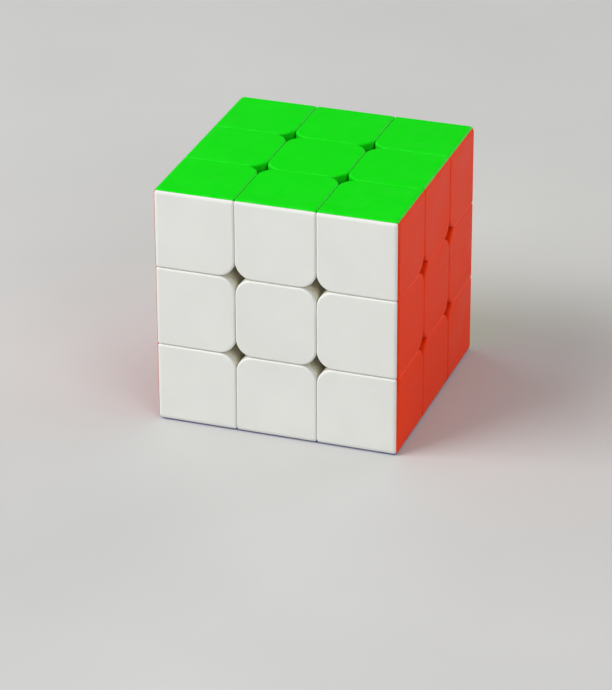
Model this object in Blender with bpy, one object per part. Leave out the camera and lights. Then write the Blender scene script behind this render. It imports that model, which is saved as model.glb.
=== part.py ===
"""Twisty puzzle cube, 3x3x3, with the mechanism that lets every face turn.

Metres, +Z up, origin at the middle of the cube, where all the turning axes meet. One prototype is
built per kind of piece and then turned into each of its places, so every place holds the same shape.

How it works: six screws hold six sprung centre bases on a six-armed core. Blocks are parted by the
planes at CUT. Under the blocks runs a shell, from SHELL_IN to SHELL_OUT, in which the feet of edge
and corner pieces are parted by planes nearer the middle, at FOOT_CUT. So the feet of the edges hook
under the centres, the feet of the corners hook under the edges, and every parting surface is round
or flat about all three axes, which lets any face turn.
"""
import math

import bmesh
import bpy
from mathutils import Matrix, Vector

MM = 0.001

# Outside of the cube
HALF = 28.0 * MM            # half of the 56 mm side
CUT = HALF / 3.0            # seam planes of the blocks: three equal thirds
SEAM = 0.15 * MM            # every piece stops this far short of a seam plane
DEEP_R = 4.0 * MM           # rounding of the upright edges that meet four at a time
OUTER_R = 1.2 * MM          # rounding of the cube's own edges
EDGE_R = 0.55 * MM          # light rounding of the edges along the seams
SPLIT = 0.15 * MM           # half of the joint line between the two halves of an edge piece

# Shell in which the feet run
SHELL_OUT = 22.0 * MM
SHELL_IN = 16.5 * MM
FOOT_CUT = 6.0 * MM         # seam planes of the feet
FOOT_R = 1.6 * MM           # rounding of the long edges of the feet
BALL_UNDER = 0.15 * MM      # feet stay this far under SHELL_OUT
BALL_OVER = 0.20 * MM       # blocks stay this far over it
NECK = 0.30 * MM            # how much slimmer an edge piece's neck is than its block and foot
NECK_TOP = HALF - 3.0 * MM

# Hollows
WALL = 1.5 * MM
DRAIN_R = 3.0 * MM          # moulding hole in the inner end of a corner piece
DRAIN_LENGTH = 8.0 * MM
POCKET = 16.8 * MM          # inner side of the hollow in an edge piece's block
NECK_POCKET = 12.8 * MM     # inner side of the hollow in its neck
NECK_POCKET_HALF = 4.0 * MM

# Middle of a face: base and cap
STALK_R = 5.6 * MM
STALK_LOW = 11.3 * MM
WELL_R = 3.5 * MM
WELL_FLOOR = 13.3 * MM
SCREW_HOLE_R = 1.45 * MM
BASE_TOP = 24.6 * MM
RECESS_R = 5.5 * MM
RECESS_FLOOR = 22.5 * MM
CAP_LOW = 24.9 * MM
PLUG_R = 5.2 * MM           # ring of four prongs under the cap
PLUG_BORE_R = 4.0 * MM
PLUG_BORE_END = 26.3 * MM
PLUG_LOW = 22.8 * MM
PRONG_SLIT = 1.2 * MM
PRONG_ROOT = 24.7 * MM

# Screw with its washer, and spring
SHANK_R = 1.1 * MM
SHANK_LOW = 4.6 * MM
WASHER_R = 3.1 * MM
WASHER_LOW = 17.8 * MM
HEAD_R = 2.8 * MM
HEAD_LOW = 18.2 * MM
HEAD_TOP = 20.1 * MM
HEAD_CHAMFER = 0.4 * MM
DRIVE_LONG = 3.5 * MM
DRIVE_WIDE = 0.7 * MM
DRIVE_DEEP = 1.1 * MM
COIL_R = 2.35 * MM
WIRE_R = 0.28 * MM
COIL_LOW = 13.65 * MM
COIL_HIGH = 17.45 * MM
COIL_TURNS = 3.5

# Core
HUB_R = 5.6 * MM
ARM_R = 3.4 * MM
ARM_LOW = 0.5 * MM
ARM_END = 11.0 * MM
ARM_CHAMFER = 0.4 * MM
PILOT_R = 1.4 * MM
PILOT_FLOOR = 3.9 * MM

# Fineness
BALL_CELLS = 9              # cells along one side of the cube that is blown up into a ball
HUB_CELLS = 4
DEEP_STEPS = 3
OUTER_STEPS = 2
EDGE_STEPS = 1
FOOT_STEPS = 2
WIDE_SIDES = 16             # sides of round shapes, by size
SMALL_SIDES = 12
THIN_SIDES = 8
COIL_STEPS = 10             # steps in one turn of the spring
WIRE_SIDES = 4
WELD = 0.0005 * MM          # corners closer than this are one
SAME = 0.0001 * MM          # coordinates closer than this are equal
JOIN = 0.1 * MM             # how far two united shapes reach into each other
PAST = 1.0 * MM             # how far a cutter runs past the face that it opens
SHARP = math.radians(35)    # faces at a larger angle than this keep a sharp edge
STEEP = math.radians(60)    # and at a larger angle than this it is rounded

FACES = {
    "top": Vector((0, 0, 1)),
    "bottom": Vector((0, 0, -1)),
    "front": Vector((0, -1, 0)),
    "back": Vector((0, 1, 0)),
    "right": Vector((1, 0, 0)),
    "left": Vector((-1, 0, 0)),
}
FACE_COLOURS = {
    "top": (0.00, 0.68, 0.00),
    "bottom": (0.01, 0.08, 0.64),
    "front": (0.80, 0.81, 0.78),
    "back": (0.90, 0.74, 0.01),
    "right": (0.96, 0.05, 0.00),
    "left": (0.58, 0.01, 0.01),
}
INNER_GREY = (0.62, 0.56, 0.42)
CORE_GREY = (0.34, 0.33, 0.29)
STEEL = (0.55, 0.55, 0.57)


# Mesh tools

def scratch(bm):
    """A temporary object around a finished bmesh."""
    bmesh.ops.recalc_face_normals(bm, faces=bm.faces)
    mesh = bpy.data.meshes.new("scratch")
    bm.to_mesh(mesh)
    bm.free()
    obj = bpy.data.objects.new("scratch", mesh)
    bpy.context.scene.collection.objects.link(obj)
    return obj


def discard(obj):
    mesh = obj.data
    bpy.data.objects.remove(obj)
    bpy.data.meshes.remove(mesh)


def combine(obj, other, operation):
    """Boolean of two scratch objects; both are used up and a new one comes back."""
    mod = obj.modifiers.new("cut", "BOOLEAN")
    mod.operation = operation
    mod.solver = "EXACT"
    mod.object = other
    seen = obj.evaluated_get(bpy.context.evaluated_depsgraph_get())
    bm = bmesh.new()
    bm.from_mesh(seen.to_mesh())
    seen.to_mesh_clear()
    discard(obj)
    discard(other)
    bmesh.ops.remove_doubles(bm, verts=bm.verts, dist=WELD)
    return scratch(bm)


def box(low, high):
    bm = bmesh.new()
    bmesh.ops.create_cube(bm, size=1.0)
    for vert in bm.verts:
        for i in range(3):
            vert.co[i] = high[i] if vert.co[i] > 0 else low[i]
    return bm


def bevel(bm, edges, radius, steps):
    bmesh.ops.bevel(bm, geom=edges, offset=radius, offset_type="OFFSET", segments=steps,
                    profile=0.5, affect="EDGES", clamp_overlap=True)


def along(edge, axis):
    a, b = (vert.co for vert in edge.verts)
    return all(abs(a[i] - b[i]) < SAME for i in range(3) if i != axis)


def at(edge, axis, value):
    return all(abs(vert.co[axis] - value) < SAME for vert in edge.verts)


def blown_up(radius, cells):
    """Cube blown up into a ball, so it looks the same from all six faces of the puzzle."""
    bm = bmesh.new()
    bmesh.ops.create_cube(bm, size=2.0)
    bmesh.ops.subdivide_edges(bm, edges=bm.edges, cuts=cells - 1, use_grid_fill=True)
    for vert in bm.verts:
        vert.co = Vector([math.tan(v * math.pi / 4) for v in vert.co]).normalized() * radius
    return bm


def ball(radius, kind):
    """For an edge piece one side of the ball's cube looks straight at the piece, off its joint line."""
    bm = blown_up(radius, BALL_CELLS)
    if kind == "edge":
        bmesh.ops.rotate(bm, verts=bm.verts, cent=(0, 0, 0), matrix=Matrix.Rotation(math.pi / 4, 3, "X"))
    return scratch(bm)


def rod(radius, low, high, sides, chamfer=0.0):
    """Round bar along Z, optionally with a broken edge at its upper end."""
    rings = [(radius, low), (radius, high - chamfer)]
    if chamfer:
        rings.append((radius - chamfer, high))
    turns = [2 * math.pi * (i + 0.5) / sides for i in range(sides)]
    bm = bmesh.new()
    loops = [[bm.verts.new((r * math.cos(t), r * math.sin(t), z)) for t in turns] for r, z in rings]
    for lower, upper in zip(loops, loops[1:]):
        for i in range(sides):
            j = (i + 1) % sides
            bm.faces.new((lower[i], lower[j], upper[j], upper[i]))
    bm.faces.new(loops[0])
    bm.faces.new(loops[-1])
    return scratch(bm)


def crossed_slots(length, width, low, high):
    """The two slots of a cross, centred on Z."""
    for x, y in ((length / 2, width / 2), (width / 2, length / 2)):
        yield scratch(box((-x, -y, low), (x, y, high)))


def turned(obj, matrix):
    obj.data.transform(matrix)
    return obj


# Corner and edge pieces

def block(kind, top=HALF):
    """Outer block of a piece: deep edges strongly rounded, the others at the surface lightly."""
    near = CUT + SEAM
    span = CUT - SEAM
    low = {"corner": (near, near, near), "edge": (-span, near, near), "centre": (-span, -span, near)}[kind]
    high = {"corner": (top, top, top), "edge": (span, top, top), "centre": (span, span, top)}[kind]
    deep_axes = {"corner": (0, 1, 2), "edge": (1, 2), "centre": (2,)}[kind]
    bm = box(low, high)
    inner = [[v for v in (low[i], high[i]) if abs(v) < top - SAME] for i in range(3)]
    deep = []
    for axis in deep_axes:
        others = [i for i in range(3) if i != axis]
        deep += [e for e in bm.edges if along(e, axis)
                 and all(any(at(e, i, v) for v in inner[i]) for i in others)]
    bevel(bm, deep, DEEP_R, DEEP_STEPS)
    bevel(bm, [e for e in bm.edges if sum(at(e, i, top) for i in range(3)) == 2], OUTER_R, OUTER_STEPS)
    surface = [e for e in bm.edges if e.calc_face_angle() > STEEP
               and all(max(vert.co) > top - OUTER_R - SAME for vert in e.verts)]
    bevel(bm, surface, EDGE_R, EDGE_STEPS)
    return scratch(bm)


def foot(kind):
    near = FOOT_CUT + SEAM
    span = FOOT_CUT - SEAM
    low = (near if kind == "corner" else -span, near, near)
    high = (HALF if kind == "corner" else span, HALF, HALF)
    bm = box(low, high)
    if kind == "corner":
        long_edges = [e for e in bm.edges if sum(at(e, i, near) for i in range(3)) == 2]
    else:
        long_edges = [e for e in bm.edges if (at(e, 1, near) or at(e, 2, near)) and not along(e, 0)
                      and (at(e, 0, span) or at(e, 0, -span))]
    bevel(bm, long_edges, FOOT_R, FOOT_STEPS)
    return combine(scratch(bm), ball(SHELL_OUT - BALL_UNDER, kind), "INTERSECT")


def neck():
    near = CUT + SEAM + NECK
    span = FOOT_CUT - SEAM - NECK
    return scratch(box((-span, near, near), (span, NECK_TOP, NECK_TOP)))


def below_diagonal():
    """Everything on the +Y side of the plane that halves an edge piece."""
    big = 3 * HALF
    bm = box((-big, -big, -big), (big, big, SPLIT))
    bmesh.ops.rotate(bm, verts=bm.verts, cent=(0, 0, 0), matrix=Matrix.Rotation(math.pi / 4, 3, "X"))
    return scratch(bm)


def corner_piece():
    """Hollow piece between +X, +Y and +Z; the hollow opens through the inner end of the foot."""
    whole = combine(block("corner"), foot("corner"), "UNION")
    whole = combine(whole, ball(SHELL_IN, "corner"), "DIFFERENCE")
    near = CUT + SEAM + WALL
    hollow = scratch(box((near, near, near), (HALF - WALL, HALF - WALL, HALF - WALL)))
    inwards = Vector((0, 0, 1)).rotation_difference(Vector((1, 1, 1))).to_matrix().to_4x4()
    low = SHELL_IN - 2 * PAST
    drain = turned(rod(DRAIN_R, low, low + DRAIN_LENGTH, WIDE_SIDES), inwards)
    return combine(whole, combine(hollow, drain, "UNION"), "DIFFERENCE")


def edge_half():
    """Half with the face at +Z of the edge piece between +Y and +Z.

    Its two hollows open at the joint line, where the other half shuts them.
    """
    half = combine(block("edge"), ball(SHELL_OUT + BALL_OVER, "edge"), "DIFFERENCE")
    half = combine(half, neck(), "UNION")
    half = combine(half, foot("edge"), "UNION")
    half = combine(half, below_diagonal(), "DIFFERENCE")
    half = combine(half, ball(SHELL_IN, "edge"), "DIFFERENCE")
    pockets = ((CUT - SEAM - WALL, POCKET, HALF - WALL), (NECK_POCKET_HALF, NECK_POCKET, POCKET + PAST))
    for span, low, high in pockets:
        half = combine(half, scratch(box((-span, low, low), (span, high, high))), "DIFFERENCE")
    return half


# Middle of a face, standing up along +Z

def centre_base():
    body = combine(block("centre", BASE_TOP), ball(SHELL_OUT + BALL_OVER, "centre"), "DIFFERENCE")
    body = combine(body, rod(STALK_R, STALK_LOW, BASE_TOP - PAST, WIDE_SIDES), "UNION")
    body = combine(body, rod(WELL_R, WELL_FLOOR, BASE_TOP + PAST, SMALL_SIDES), "DIFFERENCE")
    body = combine(body, rod(SCREW_HOLE_R, STALK_LOW - PAST, WELL_FLOOR + PAST, THIN_SIDES), "DIFFERENCE")
    return combine(body, rod(RECESS_R, RECESS_FLOOR, BASE_TOP + PAST, WIDE_SIDES), "DIFFERENCE")


def centre_cap():
    """Plate with a ring of four prongs that snaps into the base's recess."""
    under = scratch(box((-HALF, -HALF, 0), (HALF, HALF, CAP_LOW)))
    cap = combine(block("centre"), under, "DIFFERENCE")
    cap = combine(cap, rod(PLUG_R, PLUG_LOW, CAP_LOW + PAST, WIDE_SIDES), "UNION")
    cap = combine(cap, rod(PLUG_BORE_R, PLUG_LOW - PAST, PLUG_BORE_END, SMALL_SIDES), "DIFFERENCE")
    for slit in crossed_slots(2 * (PLUG_R + PAST), PRONG_SLIT, PLUG_LOW - PAST, PRONG_ROOT):
        cap = combine(cap, slit, "DIFFERENCE")
    return cap


def tension_screw():
    """Screw with its washer; crossed drive recess in the head."""
    shank = rod(SHANK_R, SHANK_LOW, WASHER_LOW + JOIN, THIN_SIDES)
    washer = rod(WASHER_R, WASHER_LOW, HEAD_LOW + JOIN, WIDE_SIDES)
    head = rod(HEAD_R, HEAD_LOW, HEAD_TOP, WIDE_SIDES, HEAD_CHAMFER)
    body = combine(combine(shank, washer, "UNION"), head, "UNION")
    for slot in crossed_slots(DRIVE_LONG, DRIVE_WIDE, HEAD_TOP - DRIVE_DEEP, HEAD_TOP + PAST):
        body = combine(body, slot, "DIFFERENCE")
    return body


def spring():
    """Open coil round the screw, between the floor of the well and the washer."""
    count = int(COIL_STEPS * COIL_TURNS)
    first_z = COIL_LOW + WIRE_R
    rise = COIL_HIGH - COIL_LOW - 2 * WIRE_R
    bm = bmesh.new()
    rings = []
    for i in range(count + 1):
        turn = 2 * math.pi * i / COIL_STEPS
        ring = []
        for k in range(WIRE_SIDES):
            around = 2 * math.pi * k / WIRE_SIDES
            reach = COIL_R + WIRE_R * math.cos(around)
            height = first_z + rise * i / count + WIRE_R * math.sin(around)
            ring.append(bm.verts.new((reach * math.cos(turn), reach * math.sin(turn), height)))
        rings.append(ring)
    for a, b in zip(rings, rings[1:]):
        for k in range(WIRE_SIDES):
            j = (k + 1) % WIRE_SIDES
            bm.faces.new((a[k], a[j], b[j], b[k]))
    bm.faces.new(rings[0])
    bm.faces.new(rings[-1])
    return scratch(bm)


def core():
    """Ball with six arms, each with a pilot hole for a screw."""
    body = scratch(blown_up(HUB_R, HUB_CELLS))
    for name in FACES:
        arm = rod(ARM_R, ARM_LOW, ARM_END, SMALL_SIDES, ARM_CHAMFER)
        body = combine(body, turned(arm, facing(name)), "UNION")
    for name in FACES:
        pilot = rod(PILOT_R, PILOT_FLOOR, ARM_END + PAST, THIN_SIDES)
        body = combine(body, turned(pilot, facing(name)), "DIFFERENCE")
    return body


# Places

def upright(normal, side):
    """Rotation that takes +Z to the normal and +Y to the side."""
    return Matrix((side.cross(normal), side, normal)).transposed().to_4x4()


def facing(name):
    normal = FACES[name]
    side = Vector((0, 0, 1)) if abs(normal.z) < 0.5 else Vector((0, 1, 0))
    return upright(normal, side)


def between(x_name, y_name, z_name):
    """Rotation that takes the corner between +X, +Y and +Z to the corner between three faces."""
    normals = [FACES[name] for name in (x_name, y_name, z_name)]
    if Matrix(normals).determinant() < 0:
        normals = [normals[1], normals[0], normals[2]]
    return Matrix(normals).transposed().to_4x4()


def material(name, colour, metallic, roughness):
    mat = bpy.data.materials.new(name)
    mat.use_nodes = True
    shader = mat.node_tree.nodes["Principled BSDF"]
    shader.inputs["Base Color"].default_value = (*colour, 1.0)
    shader.inputs["Metallic"].default_value = metallic
    shader.inputs["Roughness"].default_value = roughness
    mat.diffuse_color = (*colour, 1.0)
    return mat


def place(prototype, matrix, name, colour, metallic=0.0, roughness=0.45):
    """A copy of the prototype in its place. Its origin stays at the middle, on every turning axis."""
    mesh = prototype.data.copy()
    mesh.name = name
    mesh.transform(matrix)
    mesh.materials.append(material(name, colour, metallic, roughness))
    mesh.shade_smooth()
    mesh.set_sharp_from_angle(angle=SHARP)
    bpy.context.scene.collection.objects.link(bpy.data.objects.new(name, mesh))


def place_middles():
    kinds = {"base": centre_base(), "cap": centre_cap(), "screw": tension_screw(), "spring": spring()}
    for name, colour in FACE_COLOURS.items():
        place(kinds["base"], facing(name), f"centre_base_{name}", colour)
        place(kinds["cap"], facing(name), f"centre_cap_{name}", colour)
        place(kinds["screw"], facing(name), f"tension_screw_{name}", STEEL, 1.0, 0.30)
        place(kinds["spring"], facing(name), f"spring_{name}", STEEL, 1.0, 0.35)
    for used in kinds.values():
        discard(used)


def place_edges():
    half = edge_half()
    names = list(FACES)
    pairs = [(a, b) for i, a in enumerate(names) for b in names[i + 1:] if FACES[a].dot(FACES[b]) == 0]
    for first, second in pairs:
        for mine, other in ((first, second), (second, first)):
            place(half, upright(FACES[mine], FACES[other]), f"edge_{first}_{second}_shell_{mine}",
                  FACE_COLOURS[mine])
    discard(half)


def place_corners():
    corner = corner_piece()
    for z_name in ("top", "bottom"):
        for y_name in ("front", "back"):
            for x_name in ("left", "right"):
                place(corner, between(x_name, y_name, z_name), f"corner_{z_name}_{y_name}_{x_name}",
                      INNER_GREY)
    discard(corner)


def place_core():
    spider = core()
    place(spider, Matrix.Identity(4), "core", CORE_GREY, roughness=0.5)
    discard(spider)


for old in list(bpy.data.objects):
    bpy.data.objects.remove(old)
place_core()
place_middles()
place_edges()
place_corners()
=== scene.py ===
"""Looks of the twisty puzzle cube: finely rounded mouldings, threaded screws and wound springs.

Metres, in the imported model's frame. One fine prototype is built per kind of piece and turned into
every place it has on the cube; each piece then rides on the body of the CAD node it stands for.
"""
import math

import bmesh
import bpy
from mathutils import Matrix, Vector


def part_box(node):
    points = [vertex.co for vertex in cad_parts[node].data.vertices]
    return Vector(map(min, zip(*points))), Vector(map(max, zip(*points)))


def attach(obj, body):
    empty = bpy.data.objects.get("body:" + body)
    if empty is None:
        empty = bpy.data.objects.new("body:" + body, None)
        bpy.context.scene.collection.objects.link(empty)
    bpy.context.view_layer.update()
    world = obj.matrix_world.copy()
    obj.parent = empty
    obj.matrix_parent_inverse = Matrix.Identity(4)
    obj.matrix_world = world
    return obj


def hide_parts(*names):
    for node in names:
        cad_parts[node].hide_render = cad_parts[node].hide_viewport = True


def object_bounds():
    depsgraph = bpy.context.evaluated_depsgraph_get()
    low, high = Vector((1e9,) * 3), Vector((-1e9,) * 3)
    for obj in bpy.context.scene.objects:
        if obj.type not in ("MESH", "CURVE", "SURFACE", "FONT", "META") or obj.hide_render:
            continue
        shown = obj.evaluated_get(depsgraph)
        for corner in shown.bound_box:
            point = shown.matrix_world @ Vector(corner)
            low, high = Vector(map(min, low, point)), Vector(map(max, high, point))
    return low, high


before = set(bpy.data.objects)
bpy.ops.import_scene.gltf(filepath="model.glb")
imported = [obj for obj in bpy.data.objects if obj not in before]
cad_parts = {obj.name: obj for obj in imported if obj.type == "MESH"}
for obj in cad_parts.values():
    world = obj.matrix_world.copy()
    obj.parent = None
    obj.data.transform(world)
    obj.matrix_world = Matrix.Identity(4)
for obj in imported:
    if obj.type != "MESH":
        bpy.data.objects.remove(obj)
CAD_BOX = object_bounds()

MM = 0.001

# Driving dimensions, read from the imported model
HALF = CAD_BOX[1].z                                  # half of the cube's side
CUT = HALF / 3.0                                     # seam planes of the visible blocks
FOOT_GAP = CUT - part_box("centre_cap_top")[1].x       # the CAD's clearance at a seam plane
FOOT_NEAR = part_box("corner_top_back_right")[0].x     # inner side of a corner piece's foot
FOOT_CUT = FOOT_NEAR - FOOT_GAP
PLUG_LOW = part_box("centre_cap_top")[0].z
BASE_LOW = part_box("centre_base_top")[0].z
BASE_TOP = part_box("centre_base_top")[1].z
SCREW_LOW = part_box("tension_screw_top")[0].z
SCREW_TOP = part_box("tension_screw_top")[1].z
COIL_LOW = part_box("spring_top")[0].z
COIL_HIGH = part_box("spring_top")[1].z
ARM_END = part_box("core")[1].z

# Blocks
SEAM = 0.030 * MM       # the mouldings' own clearance at a seam plane
DEEP_R = 4.0 * MM       # rounding of the upright edges that meet four at a time
OUTER_R = 1.2 * MM      # rounding of the cube's own edges
EDGE_R = 0.50 * MM      # rounding of every edge along a seam
SPLIT = 0.02 * MM       # half of the joint line between two coloured shells
WALL = 1.5 * MM
CAP_LOW = BASE_TOP + 0.3 * MM
GAP_SHADE_FROM = 0.6 * MM     # depth at which a block's surface starts to take its painted gap shade
GAP_SHADE_FULL = 2.5 * MM     # and where it has it in full

# Round space in which the feet run
SHELL_OUT = 22.0 * MM
SHELL_IN = 16.5 * MM
BALL_UNDER = 0.15 * MM  # the feet's clearance under SHELL_OUT
BALL_OVER = 0.20 * MM   # the blocks' clearance over it
FOOT_R = 1.6 * MM
NECK = 0.3 * MM         # clearance round the neck that joins an edge's foot to its shells
NECK_REACH = 17.5 * MM
DRAIN_R = 3.0 * MM
POCKET = 16.8 * MM      # inner side of an edge shell's hollow

# Middle of a face
STALK_R = 5.6 * MM
WELL_R = 3.5 * MM
WELL_FLOOR = 13.3 * MM
SCREW_HOLE_R = 1.45 * MM
RECESS_R = 5.5 * MM
RECESS_FLOOR = 22.5 * MM
PLUG_R = 5.2 * MM
PLUG_BORE_R = 4.0 * MM
PLUG_BORE_END = 26.3 * MM
PRONG_SLIT = 1.2 * MM
PRONG_ROOT = 24.7 * MM
LIP_STEP = 0.25 * MM
LIP_HIGH = 0.7 * MM
SHANK_R = 1.1 * MM
SHANK_TOP_IN = 0.1 * MM   # the shank's end inside the washer
TIP_SHARE = 0.6           # the shank's radius at its tip, as a share of the full one
THREAD_PITCH = 0.7 * MM
THREAD_DEPTH = 0.16 * MM
WASHER_R = 3.1 * MM
WASHER_LOW = 17.8 * MM
WASHER_TOP_IN = 0.05 * MM
WASHER_FILLET = 0.12 * MM
HEAD_LOW = 18.2 * MM
HEAD_R = 2.8 * MM
HEAD_FILLET = 0.4 * MM
DRIVE_LONG = 3.5 * MM
DRIVE_WIDE = 0.7 * MM
DRIVE_DEEP = 1.1 * MM
COIL_R = 2.35 * MM      # to the middle of the wire
WIRE_R = 0.28 * MM
COIL_TURNS = 3.5
END_FLATNESS = 0.75     # 0 gives an even rise, 1 gives end turns that start level

# Core
HUB_R = 5.6 * MM
ARM_R = 3.4 * MM
ARM_LOW = 0.5 * MM
ARM_FILLET = 0.4 * MM
PILOT_R = 1.4 * MM
PILOT_FLOOR = 3.9 * MM

# Making
OVERLAP = 1.0 * MM      # how far a tool body reaches into what it joins, or past what it cuts
MERGE = 5e-7            # points closer than this are one
SAME = 1e-7             # coordinates closer than this are equal

# Fineness
EDGE_STEPS = 4
OUTER_STEPS = 6
DEEP_STEPS = 10
FOOT_STEPS = 6
FILLET_STEPS = 4
HEAD_STEPS = 6
BALL_CELLS = 22
HUB_CELLS = 16
WIDE_SIDES = 48
MIDDLE_SIDES = 32
SMALL_SIDES = 24
THREAD_ROWS = 8         # rows of points in one pitch
COIL_STEPS = 32         # rings of points in one turn
WIRE_SIDES = 12
BALL_TURN_X = math.radians(17)
BALL_TURN_Z = math.radians(23)
STEEP = math.radians(60)
SHARP = math.radians(32)

# Camera and stage
AZIMUTH = math.radians(19.25)
ELEVATION = math.radians(26.5)
ROLL = math.radians(-0.24)
DISTANCE = 0.7794
LENS = 181.7
ASIDE = -2.5 * MM       # camera's offset across its view, to place the cube in the picture
BELOW = -16.5 * MM      # and down its view
FLOOR_GAP = 0.02 * MM   # keeps the floor out of the cube's bottom face
FLOOR_HALF = 3.0
WORLD_LIGHT = 0.20

# Lights: name, place, size, power, tint
LIGHTS = [
    ("key", (-0.80, -0.60, 0.90), (0.9, 0.7), 16.0, (1.0, 1.0, 0.985)),
    ("overhead", (0.05, -0.05, 1.1), (0.8, 0.8), 1.5, (1.0, 1.0, 1.0)),
    ("side", (0.90, -0.75, 0.75), (0.7, 0.7), 5.2, (1.0, 0.98, 0.96)),
    ("back_right", (0.55, 1.05, 0.45), (0.8, 0.6), 4.6, (1.0, 1.0, 1.0)),
    ("back_left", (-1.00, 0.45, 0.60), (0.6, 0.6), 2.0, (1.0, 1.0, 1.0)),
]

FACES = {
    "top": Vector((0, 0, 1)),
    "bottom": Vector((0, 0, -1)),
    "front": Vector((0, -1, 0)),
    "back": Vector((0, 1, 0)),
    "right": Vector((1, 0, 0)),
    "left": Vector((-1, 0, 0)),
}
COLOUR_WORDS = {"top": "green", "bottom": "blue", "front": "white", "back": "yellow",
                "right": "orange", "left": "red"}

# Each plastic's own colour, then its painted gap shade: gap walls darker, and for white warmer as bounced
# light
COLOURS = {
    "green": ((0.000, 0.680, 0.001), (0.000, 0.490, 0.001)),
    "blue": ((0.006, 0.080, 0.640), (0.005, 0.060, 0.480)),
    "white": ((0.800, 0.810, 0.780), (0.885, 0.845, 0.690)),
    "yellow": ((0.900, 0.740, 0.010), (0.700, 0.530, 0.010)),
    "orange": ((0.960, 0.045, 0.001), (0.760, 0.035, 0.001)),
    "red": ((0.580, 0.008, 0.012), (0.450, 0.007, 0.010)),
}
INNER_COLOUR = (0.62, 0.56, 0.42)
CORE_COLOUR = (0.34, 0.33, 0.29)
SCREW_COLOUR = (0.62, 0.62, 0.63)
SPRING_COLOUR = (0.55, 0.54, 0.53)
FLOOR_COLOURS = ((0.54, 0.54, 0.535), (0.57, 0.57, 0.565))


# ---------------------------------------------------------------- mesh tools

def scratch(bm):
    """A temporary object around a finished bmesh."""
    bmesh.ops.recalc_face_normals(bm, faces=bm.faces)
    mesh = bpy.data.meshes.new("scratch")
    bm.to_mesh(mesh)
    bm.free()
    obj = bpy.data.objects.new("scratch", mesh)
    bpy.context.scene.collection.objects.link(obj)
    return obj


def discard(obj):
    """Remove an object together with its mesh."""
    mesh = obj.data
    bpy.data.objects.remove(obj)
    bpy.data.meshes.remove(mesh)


def combine(obj, other, operation):
    """Boolean of two scratch objects; both are used up and a new one comes back."""
    mod = obj.modifiers.new("cut", "BOOLEAN")
    mod.operation = operation
    mod.solver = "EXACT"
    mod.object = other
    bpy.context.view_layer.update()
    seen = obj.evaluated_get(bpy.context.evaluated_depsgraph_get())
    bm = bmesh.new()
    bm.from_mesh(seen.to_mesh())
    seen.to_mesh_clear()
    discard(obj)
    discard(other)
    bmesh.ops.remove_doubles(bm, verts=bm.verts, dist=MERGE)
    return scratch(bm)


def box(low, high):
    """Bmesh of a box between two corners."""
    bm = bmesh.new()
    bmesh.ops.create_cube(bm, size=1.0)
    for vert in bm.verts:
        for i in range(3):
            vert.co[i] = high[i] if vert.co[i] > 0 else low[i]
    return bm


def bevel(bm, edges, radius, steps):
    bmesh.ops.bevel(bm, geom=edges, offset=radius, offset_type="OFFSET", segments=steps,
                    profile=0.5, affect="EDGES", clamp_overlap=True)


def along(edge, axis):
    """Whether the edge runs along that axis."""
    a, b = (vert.co for vert in edge.verts)
    return all(abs(a[i] - b[i]) < SAME for i in range(3) if i != axis)


def at(edge, axis, value):
    """Whether the whole edge lies at that coordinate."""
    return all(abs(vert.co[axis] - value) < SAME for vert in edge.verts)


def steep(bm, test):
    """Edges that pass the test and have faces at a steep angle to each other."""
    return [e for e in bm.edges
            if test(e) and len(e.link_faces) == 2 and e.calc_face_angle() > STEEP]


def near_surface(edge, top):
    return all(max(vert.co) > top - OUTER_R - SAME for vert in edge.verts)


def blown_cube(radius, cells):
    """Cube blown up into a ball of nearly even cells."""
    bm = bmesh.new()
    bmesh.ops.create_cube(bm, size=2.0)
    bmesh.ops.subdivide_edges(bm, edges=bm.edges, cuts=cells - 1, use_grid_fill=True)
    for vert in bm.verts:
        vert.co = Vector([math.tan(v * math.pi / 4) for v in vert.co]).normalized() * radius
    return bm


def ball(radius):
    """Ball turned so that no cell line falls on a plane of symmetry."""
    bm = blown_cube(radius, BALL_CELLS)
    aside = Matrix.Rotation(BALL_TURN_X, 3, "X") @ Matrix.Rotation(BALL_TURN_Z, 3, "Z")
    bmesh.ops.rotate(bm, verts=bm.verts, cent=(0, 0, 0), matrix=aside)
    return scratch(bm)


def lathe(profile, sides=WIDE_SIDES):
    """Closed solid of revolution about Z; the profile runs from the axis back to the axis."""
    bm = bmesh.new()
    turns = [2 * math.pi * (i + 0.5) / sides for i in range(sides)]
    rings = []
    for r, z in profile:
        if r == 0:
            rings.append([bm.verts.new((0, 0, z))] * sides)
        else:
            rings.append([bm.verts.new((r * math.cos(t), r * math.sin(t), z)) for t in turns])
    for lower, upper in zip(rings, rings[1:]):
        for i in range(sides):
            j = (i + 1) % sides
            corners = []
            for vert in (lower[i], lower[j], upper[j], upper[i]):
                if vert not in corners:
                    corners.append(vert)
            if len(corners) > 2:
                bm.faces.new(corners)
    return scratch(bm)


def rounded(radius, low, high, fillet, steps=FILLET_STEPS):
    """Profile of a round bar with a fillet at each end."""
    angles = [math.pi / 2 * i / steps for i in range(steps + 1)]
    inner = radius - fillet
    lower = [(inner + fillet * math.sin(a), low + fillet - fillet * math.cos(a)) for a in angles]
    upper = [(inner + fillet * math.cos(a), high - fillet + fillet * math.sin(a)) for a in angles]
    return [(0, low)] + lower + upper + [(0, high)]


def rod(radius, low, high, sides=WIDE_SIDES):
    return lathe([(0, low), (radius, low), (radius, high), (0, high)], sides)


def crossed_slots(length, width, low, high):
    """The two slots of a cross, centred on Z."""
    for x, y in ((length / 2, width / 2), (width / 2, length / 2)):
        yield scratch(box((-x, -y, low), (x, y, high)))


def tilted_to(direction, obj):
    """The object turned so that its +Z points in the direction."""
    obj.data.transform(Vector((0, 0, 1)).rotation_difference(direction).to_matrix().to_4x4())
    return obj


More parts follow.
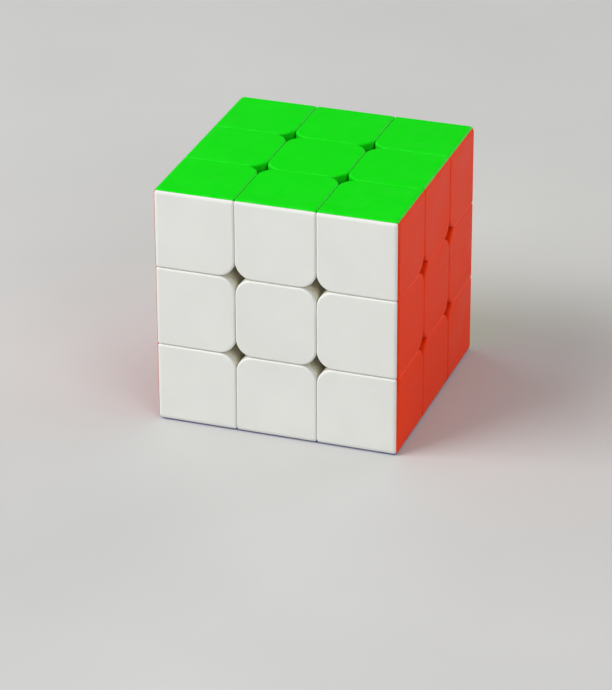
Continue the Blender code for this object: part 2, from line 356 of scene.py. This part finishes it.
def behind_diagonal(axis):
    """Half space in which that coordinate is larger than Z, for cutting shells apart."""
    big = 3 * HALF
    bm = box((-big, -big, -big), (big, big, SPLIT))
    turn = math.pi / 4 if axis == "Y" else -math.pi / 4
    about = "X" if axis == "Y" else "Y"
    bmesh.ops.rotate(bm, verts=bm.verts, cent=(0, 0, 0), matrix=Matrix.Rotation(turn, 3, about))
    return scratch(bm)


# ---------------------------------------------------------------- mouldings

def block(kind, low_z=None, top=HALF):
    """Outer block of a piece: deep edges strongly rounded, edges at the surface lightly."""
    near = CUT + SEAM
    span = CUT - SEAM
    low = {"corner": (near, near, near), "edge": (-span, near, near),
           "centre": (-span, -span, low_z or near)}[kind]
    high = {"corner": (top, top, top), "edge": (span, top, top), "centre": (span, span, top)}[kind]
    bm = box(low, high)
    inner = [[v for v in (low[i], high[i]) if abs(v) < top - SAME] for i in range(3)]
    axes = {"corner": (0, 1, 2), "edge": (1, 2), "centre": (2,)}[kind]
    deep = []
    for axis in axes:
        others = [i for i in range(3) if i != axis]
        deep += [e for e in bm.edges if along(e, axis)
                 and all(any(at(e, i, v) for v in inner[i]) for i in others)]
    bevel(bm, deep, DEEP_R, DEEP_STEPS)
    bevel(bm, [e for e in bm.edges if sum(at(e, i, top) for i in range(3)) == 2], OUTER_R, OUTER_STEPS)
    bevel(bm, steep(bm, lambda e: near_surface(e, top)), EDGE_R, EDGE_STEPS)
    return scratch(bm)


def corner_shell():
    """Coloured shell with the face at +Z of the corner piece between +X, +Y and +Z."""
    shell = combine(block("corner"), behind_diagonal("X"), "DIFFERENCE")
    shell = combine(shell, behind_diagonal("Y"), "DIFFERENCE")
    near = CUT + SEAM + WALL
    hollow = scratch(box((near, near, near), (HALF - WALL, HALF - WALL, HALF - WALL)))
    shell = combine(shell, hollow, "DIFFERENCE")
    return combine(shell, ball(SHELL_OUT - BALL_UNDER + SPLIT), "DIFFERENCE")


def edge_shell():
    """Coloured shell with the face at +Z of the edge piece between +Y and +Z."""
    shell = combine(block("edge"), behind_diagonal("Y"), "DIFFERENCE")
    span = CUT - SEAM - WALL
    hollow = scratch(box((-span, POCKET, POCKET), (span, HALF - WALL, HALF - WALL)))
    shell = combine(shell, hollow, "DIFFERENCE")
    return combine(shell, ball(SHELL_OUT + BALL_OVER), "DIFFERENCE")


def foot_body(kind):
    """Outside of a corner's or an edge's foot, before it is hollowed from the core's side."""
    near = FOOT_CUT + FOOT_GAP
    span = FOOT_CUT - FOOT_GAP
    low = (near if kind == "corner" else -span, near, near)
    high = (HALF if kind == "corner" else span, HALF, HALF)
    bm = box(low, high)
    if kind == "corner":
        long_edges = [e for e in bm.edges if sum(at(e, i, near) for i in range(3)) == 2]
    else:
        long_edges = [e for e in bm.edges if (at(e, 1, near) or at(e, 2, near)) and not along(e, 0)
                      and (at(e, 0, span) or at(e, 0, -span))]
    bevel(bm, long_edges, FOOT_R, FOOT_STEPS)
    return combine(scratch(bm), ball(SHELL_OUT - BALL_UNDER), "INTERSECT")


def corner_foot():
    """Foot between +X, +Y and +Z, with an opening into the hollow block."""
    foot = combine(foot_body("corner"), ball(SHELL_IN), "DIFFERENCE")
    drain = rod(DRAIN_R, SHELL_IN - 2 * OVERLAP, SHELL_OUT + OVERLAP, MIDDLE_SIDES)
    return combine(foot, tilted_to(Vector((1, 1, 1)), drain), "DIFFERENCE")


def edge_foot():
    """Foot between +Y and +Z, with the neck that reaches into the shells."""
    near = CUT + FOOT_GAP + NECK
    span = FOOT_CUT - FOOT_GAP - NECK
    neck = scratch(box((-span, near, near), (span, NECK_REACH, NECK_REACH)))
    foot = combine(foot_body("edge"), neck, "UNION")
    return combine(foot, ball(SHELL_IN), "DIFFERENCE")


def centre_base():
    """Base with stalk, spring well, screw hole and the recess for the cap's prongs."""
    body = combine(block("centre", top=BASE_TOP), ball(SHELL_OUT + BALL_OVER), "DIFFERENCE")
    body = combine(body, rod(STALK_R, BASE_LOW, BASE_TOP - OVERLAP), "UNION")
    body = combine(body, rod(WELL_R, WELL_FLOOR, BASE_TOP + OVERLAP), "DIFFERENCE")
    screw_hole = rod(SCREW_HOLE_R, BASE_LOW - OVERLAP, WELL_FLOOR + OVERLAP, MIDDLE_SIDES)
    body = combine(body, screw_hole, "DIFFERENCE")
    return combine(body, rod(RECESS_R, RECESS_FLOOR, BASE_TOP + OVERLAP), "DIFFERENCE")


def centre_cap():
    """Plate with a ring of four prongs, each with a lip that snaps into the base's recess."""
    waist = PLUG_R - LIP_STEP
    root = CAP_LOW + OVERLAP
    ring = lathe([(0, PLUG_LOW), (waist, PLUG_LOW), (PLUG_R, PLUG_LOW + LIP_STEP),
                  (PLUG_R, PLUG_LOW + LIP_HIGH), (waist, PLUG_LOW + LIP_HIGH + LIP_STEP),
                  (waist, root), (0, root)])
    cap = combine(block("centre", low_z=CAP_LOW), ring, "UNION")
    cap = combine(cap, rod(PLUG_BORE_R, PLUG_LOW - OVERLAP, PLUG_BORE_END), "DIFFERENCE")
    for slit in crossed_slots(2 * PLUG_R + OVERLAP, PRONG_SLIT, PLUG_LOW - OVERLAP, PRONG_ROOT):
        cap = combine(cap, slit, "DIFFERENCE")
    return cap


# ---------------------------------------------------------------- metal and core

def skin(bm, rings):
    """Closed skin over rings of points, which all have the same number."""
    sides = len(rings[0])
    for lower, upper in zip(rings, rings[1:]):
        for i in range(sides):
            j = (i + 1) % sides
            bm.faces.new((lower[i], lower[j], upper[j], upper[i]))
    bm.faces.new(rings[0])
    bm.faces.new(rings[-1])
    return scratch(bm)


def shank():
    """Threaded bar: a fine grid whose radius follows the helix, smooth above the thread."""
    top = WASHER_LOW + SHANK_TOP_IN
    rows = int((top - SCREW_LOW) / THREAD_PITCH * THREAD_ROWS)
    bm = bmesh.new()
    rings = []
    for k in range(rows + 1):
        z = SCREW_LOW + (top - SCREW_LOW) * k / rows
        tip = min(1.0, (z - SCREW_LOW) / THREAD_PITCH)
        threaded = 1.0 if z < ARM_END + THREAD_PITCH else 0.0
        ring = []
        for i in range(SMALL_SIDES):
            phase = (z / THREAD_PITCH - i / SMALL_SIDES) % 1.0
            crest = 1.0 - abs(2.0 * phase - 1.0)
            r = SHANK_R - THREAD_DEPTH * threaded * (1.0 - crest)
            r *= TIP_SHARE + (1.0 - TIP_SHARE) * tip
            turn = 2 * math.pi * i / SMALL_SIDES
            ring.append(bm.verts.new((r * math.cos(turn), r * math.sin(turn), z)))
        rings.append(ring)
    return skin(bm, rings)


def screw():
    """Threaded screw with a crossed drive and its washer."""
    washer = lathe(rounded(WASHER_R, WASHER_LOW, HEAD_LOW + WASHER_TOP_IN, WASHER_FILLET))
    head = lathe(rounded(HEAD_R, HEAD_LOW, SCREW_TOP, HEAD_FILLET, HEAD_STEPS))
    for slot in crossed_slots(DRIVE_LONG, DRIVE_WIDE, SCREW_TOP - DRIVE_DEEP, SCREW_TOP + OVERLAP):
        head = combine(head, slot, "DIFFERENCE")
    body = combine(shank(), washer, "UNION")
    return combine(body, head, "UNION")


def spring():
    """Wound wire whose end turns lie flatter than the middle ones."""
    count = int(COIL_STEPS * COIL_TURNS)
    rise = COIL_HIGH - COIL_LOW - 2 * WIRE_R
    bm = bmesh.new()
    rings = []
    for i in range(count + 1):
        share = i / count
        turn = 2 * math.pi * i / COIL_STEPS
        eased = share - math.sin(2 * math.pi * share) / (2 * math.pi) * END_FLATNESS
        middle_z = COIL_LOW + WIRE_R + rise * eased
        out = Vector((math.cos(turn), math.sin(turn), 0))
        ring = []
        for k in range(WIRE_SIDES):
            around = 2 * math.pi * k / WIRE_SIDES
            point = out * (COIL_R + WIRE_R * math.cos(around))
            point.z = middle_z + WIRE_R * math.sin(around)
            ring.append(bm.verts.new(point))
        rings.append(ring)
    return skin(bm, rings)


def core():
    """Round hub with six arms, each bored for its screw."""
    body = scratch(blown_cube(HUB_R, HUB_CELLS))
    for normal in FACES.values():
        arm = lathe(rounded(ARM_R, ARM_LOW, ARM_END, ARM_FILLET), MIDDLE_SIDES)
        body = combine(body, tilted_to(normal, arm), "UNION")
    for normal in FACES.values():
        pilot = rod(PILOT_R, PILOT_FLOOR, ARM_END + OVERLAP, SMALL_SIDES)
        body = combine(body, tilted_to(normal, pilot), "DIFFERENCE")
    return body


# ---------------------------------------------------------------- materials

class Tree:
    """Short calls for wiring one material's nodes."""

    def __init__(self, name):
        self.mat = bpy.data.materials.new(name)
        self.mat.use_nodes = True
        self.tree = self.mat.node_tree
        self.shader = self.tree.nodes["Principled BSDF"]
        coords = self.tree.nodes.new("ShaderNodeTexCoord")
        self.place = coords.outputs["Object"]

    def link(self, source, target):
        self.tree.links.new(source, target)

    def noise(self, scale, detail=2.0, roughness=0.5, stretch=None, turn=0.0):
        place = self.place
        if stretch:
            mapping = self.tree.nodes.new("ShaderNodeMapping")
            mapping.inputs["Scale"].default_value = stretch
            mapping.inputs["Rotation"].default_value = (turn, turn * 0.7, turn * 1.3)
            self.link(place, mapping.inputs["Vector"])
            place = mapping.outputs["Vector"]
        node = self.tree.nodes.new("ShaderNodeTexNoise")
        node.inputs["Scale"].default_value = scale
        node.inputs["Detail"].default_value = detail
        node.inputs["Roughness"].default_value = roughness
        self.link(place, node.inputs["Vector"])
        return node.outputs["Fac"]

    def spread(self, value, low, high, to_low=0.0, to_high=1.0):
        node = self.tree.nodes.new("ShaderNodeMapRange")
        node.inputs["From Min"].default_value = low
        node.inputs["From Max"].default_value = high
        node.inputs["To Min"].default_value = to_low
        node.inputs["To Max"].default_value = to_high
        self.link(value, node.inputs["Value"])
        return node.outputs["Result"]

    def maths(self, operation, a, b):
        node = self.tree.nodes.new("ShaderNodeMath")
        node.operation = operation
        for socket, value in zip(node.inputs, (a, b)):
            if isinstance(value, float):
                socket.default_value = value
            else:
                self.link(value, socket)
        return node.outputs["Value"]

    def mix(self, share, a, b):
        node = self.tree.nodes.new("ShaderNodeMix")
        node.data_type = "RGBA"
        self.link(share, node.inputs["Factor"])
        colour_sockets = [socket for socket in node.inputs if socket.type == "RGBA"]
        for socket, value in zip(colour_sockets, (a, b)):
            if isinstance(value, tuple):
                socket.default_value = (*value, 1.0)
            else:
                self.link(value, socket)
        return next(socket for socket in node.outputs if socket.type == "RGBA")

    def bump(self, height, strength, distance, under=None):
        node = self.tree.nodes.new("ShaderNodeBump")
        node.inputs["Strength"].default_value = strength
        node.inputs["Distance"].default_value = distance
        self.link(height, node.inputs["Height"])
        if under is not None:
            self.link(under, node.inputs["Normal"])
        return node.outputs["Normal"]

    def gap_shade_mask(self):
        """Mask of the painted gap shade: 0 at the cube's surface, 1 on the walls of the gaps between
        blocks.
        """
        parts = self.tree.nodes.new("ShaderNodeSeparateXYZ")
        self.link(self.place, parts.inputs["Vector"])
        x, y, z = (self.maths("ABSOLUTE", socket, 0.0) for socket in parts.outputs)
        farthest = self.maths("MAXIMUM", self.maths("MAXIMUM", x, y), z)
        return self.spread(farthest, HALF - GAP_SHADE_FROM, HALF - GAP_SHADE_FULL)

    def edge_highlight_and_rub(self):
        """1 along outward edges, 0 on flats; broken up so that it isn't a drawn line. It paints a
        highlight there by lightening the colour, and marks where fingers rub for a lower roughness.
        """
        geometry = self.tree.nodes.new("ShaderNodeNewGeometry")
        edge = self.spread(geometry.outputs["Pointiness"], 0.52, 0.60)
        return self.maths("MULTIPLY", edge, self.spread(self.noise(420.0, 3.0), 0.35, 0.65))


def paler(colour, share):
    return tuple(c + (1.0 - c) * share for c in colour)


def darker(colour, share):
    return tuple(c * (1.0 - share) for c in colour)


def moulded_plastic(name, colour, painted_gap_shade=None, roughness=0.40, specular=0.06):
    """Coloured ABS with a fine matt mould grain, faint flow clouds and hairline handling marks.

    A plastic that has a gap colour is one that hands reach: its gap walls take that colour as painted
    shade, and its outward edges are painted paler as a highlight and get a lower roughness from rubbing.
    """
    t = Tree(name)
    clouds = t.noise(75.0, 3.0, 0.55)
    base = t.mix(t.spread(clouds, 0.3, 0.7), darker(colour, 0.045), colour)
    grain = t.noise(7000.0, 2.0, 0.6)
    marks_a = t.spread(t.noise(900.0, 2.0, 0.5, (1.0, 0.03, 0.4), 0.6), 0.66, 0.74)
    marks_b = t.spread(t.noise(800.0, 2.0, 0.5, (0.03, 1.0, 0.5), -0.5), 0.67, 0.75)
    marks = t.maths("MAXIMUM", marks_a, marks_b)
    rough = t.spread(clouds, 0.3, 0.7, roughness - 0.04, roughness + 0.05)
    rough = t.maths("ADD", rough, t.maths("MULTIPLY", marks, 0.07))
    if painted_gap_shade:
        edge_highlight_and_rub_mask = t.edge_highlight_and_rub()
        # painted highlight: the edge mask lightens the colour along outward edges
        base = t.mix(t.maths("MULTIPLY", edge_highlight_and_rub_mask, 0.5), base, paler(colour, 0.10))
        # painted shade and warm bounced light: the gap colour on the walls between blocks
        base = t.mix(t.gap_shade_mask(), base, painted_gap_shade)
        rough = t.maths("SUBTRACT", rough, t.maths("MULTIPLY", edge_highlight_and_rub_mask, 0.08))
    normal = t.bump(grain, 0.10, 0.02 * MM)
    normal = t.bump(marks, 0.06, 0.01 * MM, normal)
    t.link(base, t.shader.inputs["Base Color"])
    t.link(rough, t.shader.inputs["Roughness"])
    t.link(normal, t.shader.inputs["Normal"])
    t.shader.inputs["Specular IOR Level"].default_value = specular
    return t.mat


def metal(name, colour, roughness, stretch, turn=0.0):
    """Bright steel with drawn or turned lines and a few dull spots."""
    t = Tree(name)
    lines = t.noise(2600.0, 3.0, 0.6, stretch, turn)
    spots = t.spread(t.noise(500.0, 4.0), 0.56, 0.72)
    base = t.mix(t.spread(lines, 0.3, 0.7), darker(colour, 0.18), paler(colour, 0.10))
    base = t.mix(t.maths("MULTIPLY", spots, 0.4), base, darker(colour, 0.35))
    rough = t.maths("ADD", t.spread(lines, 0.3, 0.7, roughness - 0.06, roughness + 0.08),
                    t.maths("MULTIPLY", spots, 0.12))
    t.link(base, t.shader.inputs["Base Color"])
    t.link(rough, t.shader.inputs["Roughness"])
    t.link(t.bump(lines, 0.15, 0.01 * MM), t.shader.inputs["Normal"])
    t.shader.inputs["Metallic"].default_value = 1.0
    return t.mat


MATERIALS = {word: moulded_plastic(f"abs_{word}", *pair) for word, pair in COLOURS.items()}
INNER_GREY = moulded_plastic("abs_inner_grey", INNER_COLOUR, roughness=0.46, specular=0.2)
CORE_GREY = moulded_plastic("nylon_core", CORE_COLOUR, roughness=0.5, specular=0.3)
SCREW_STEEL = metal("screw_steel", SCREW_COLOUR, roughness=0.28, stretch=(1.0, 1.0, 0.12))
SPRING_STEEL = metal("spring_steel", SPRING_COLOUR, roughness=0.24, stretch=(0.15, 0.15, 1.0), turn=0.4)


# ---------------------------------------------------------------- placing

def upright(normal, side):
    """Rotation that takes +Z to the normal and +Y to the side."""
    return Matrix((side.cross(normal), side, normal)).transposed().to_4x4()


def facing(name):
    """Rotation that takes +Z to that face's normal."""
    normal = FACES[name]
    side = Vector((0, 0, 1)) if abs(normal.z) < 0.5 else Vector((0, 1, 0))
    return upright(normal, side)


def corner_turn(first, second, third):
    """Rotation that takes +Z to the first normal and the other two axes to the other normals."""
    a, b, c = FACES[first], FACES[second], FACES[third]
    if Matrix((b, c, a)).determinant() < 0:
        b, c = c, b
    return Matrix((b, c, a)).transposed().to_4x4()


def add(name, prototype, matrix, mat, body, slot, *nodes):
    """Place a copy of the prototype that rides on the body and stands for the CAD nodes."""
    mesh = prototype.data.copy()
    mesh.name = name
    mesh.transform(matrix)
    mesh.materials.clear()
    mesh.materials.append(mat)
    mesh.shade_smooth()
    mesh.set_sharp_from_angle(angle=SHARP)
    piece = bpy.data.objects.new(name, mesh)
    bpy.context.scene.collection.objects.link(piece)
    weights = piece.modifiers.new("flat_faces", "WEIGHTED_NORMAL")
    weights.keep_sharp = True
    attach(piece, body)
    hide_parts(*nodes)
    return piece


def add_middle(proto):
    """Core, and on each face its centre base, cap, screw and spring."""
    add("core_spider", proto["core"], Matrix.Identity(4), CORE_GREY, "core", "plastic_core", "core")
    for name in FACES:
        word = COLOUR_WORDS[name]
        here = facing(name)
        add(f"face_base_{name}", proto["base"], here, MATERIALS[word], f"centre_{name}",
            f"plastic_{word}", f"centre_base_{name}")
        add(f"face_cap_{name}", proto["cap"], here, MATERIALS[word], f"cap_{name}",
            f"plastic_{word}", f"centre_cap_{name}")
        add(f"washer_screw_{name}", proto["screw"], here, SCREW_STEEL, f"screw_{name}",
            "steel_screw", f"tension_screw_{name}")
        add(f"coil_{name}", proto["spring"], here, SPRING_STEEL, "core", "steel_spring", f"spring_{name}")


def add_edges(proto):
    """Foot and two coloured shells of each edge piece."""
    names = list(FACES)
    pairs = [(a, b) for i, a in enumerate(names) for b in names[i + 1:] if FACES[a].dot(FACES[b]) == 0]
    for a, b in pairs:
        body = f"edge_{a}_{b}"
        nodes = [f"{body}_shell_{a}", f"{body}_shell_{b}"]
        add(f"{body}_foot", proto["edge_foot"], upright(FACES[a], FACES[b]), INNER_GREY, body,
            "plastic_inner_grey", *nodes)
        for mine, other, node in ((a, b, nodes[0]), (b, a, nodes[1])):
            word = COLOUR_WORDS[mine]
            add(f"{body}_moulding_{mine}", proto["edge_shell"], upright(FACES[mine], FACES[other]),
                MATERIALS[word], body, f"plastic_{word}", node)


def add_corners(proto):
    """Foot and three coloured shells of each corner piece."""
    places = [(z, y, x) for z in ("top", "bottom") for y in ("front", "back") for x in ("left", "right")]
    for place in places:
        body = "corner_" + "_".join(place)
        add(f"{body}_foot", proto["corner_foot"], corner_turn(*place), INNER_GREY, body,
            "plastic_inner_grey", body)
        for mine in place:
            others = [name for name in place if name != mine]
            word = COLOUR_WORDS[mine]
            add(f"{body}_moulding_{mine}", proto["corner_shell"], corner_turn(mine, *others),
                MATERIALS[word], body, f"plastic_{word}", body)


# ---------------------------------------------------------------- stage

def add_floor():
    """Plain pale floor just under the cube."""
    bm = bmesh.new()
    bmesh.ops.create_grid(bm, x_segments=1, y_segments=1, size=FLOOR_HALF)
    floor = scratch(bm)
    floor.name = "floor"
    floor.location.z = -HALF - FLOOR_GAP
    t = Tree("pale_floor")
    shade = t.mix(t.spread(t.noise(14.0, 3.0), 0.3, 0.7), *FLOOR_COLOURS)
    t.link(shade, t.shader.inputs["Base Color"])
    t.link(t.bump(t.noise(900.0, 2.0), 0.05, 0.05 * MM), t.shader.inputs["Normal"])
    t.shader.inputs["Roughness"].default_value = 0.75
    t.shader.inputs["Specular IOR Level"].default_value = 0.2
    floor.data.materials.append(t.mat)


def add_light(name, place, size, power, tint):
    """Soft rectangular lamp that looks at the cube."""
    light = bpy.data.lights.new(name, "AREA")
    light.shape = "RECTANGLE"
    light.size, light.size_y = size
    light.energy = power
    light.color = tint
    lamp = bpy.data.objects.new(name, light)
    lamp.location = place
    lamp.rotation_euler = (-Vector(place)).to_track_quat("-Z", "Y").to_euler()
    bpy.context.scene.collection.objects.link(lamp)


def add_studio():
    add_floor()
    for light in LIGHTS:
        add_light(*light)
    world = bpy.data.worlds.new("studio")
    world.use_nodes = True
    back = world.node_tree.nodes["Background"]
    back.inputs["Color"].default_value = (1.0, 1.0, 1.0, 1.0)
    back.inputs["Strength"].default_value = WORLD_LIGHT
    bpy.context.scene.world = world
    bpy.context.scene.view_settings.view_transform = "Standard"


def add_camera():
    """Camera that looks at the cube's middle from the front, a little right and from above."""
    back = Vector((math.sin(AZIMUTH) * math.cos(ELEVATION), -math.cos(AZIMUTH) * math.cos(ELEVATION),
                   math.sin(ELEVATION)))
    right = Vector((0, 0, 1)).cross(back).normalized()
    up = back.cross(right)
    right, up = (right * math.cos(ROLL) + up * math.sin(ROLL),
                 up * math.cos(ROLL) - right * math.sin(ROLL))
    camera = bpy.data.objects.new("camera", bpy.data.cameras.new("camera"))
    camera.data.lens = LENS
    camera.data.clip_start = 0.05
    camera.rotation_euler = Matrix((right, up, back)).transposed().to_euler()
    camera.location = back * DISTANCE + right * ASIDE + up * BELOW
    bpy.context.scene.collection.objects.link(camera)
    bpy.context.scene.camera = camera


add_studio()
add_camera()
prototypes = {
    "core": core(), "base": centre_base(), "cap": centre_cap(), "screw": screw(), "spring": spring(),
    "edge_foot": edge_foot(), "edge_shell": edge_shell(),
    "corner_foot": corner_foot(), "corner_shell": corner_shell(),
}
add_middle(prototypes)
add_edges(prototypes)
add_corners(prototypes)
for prototype in prototypes.values():
    discard(prototype)
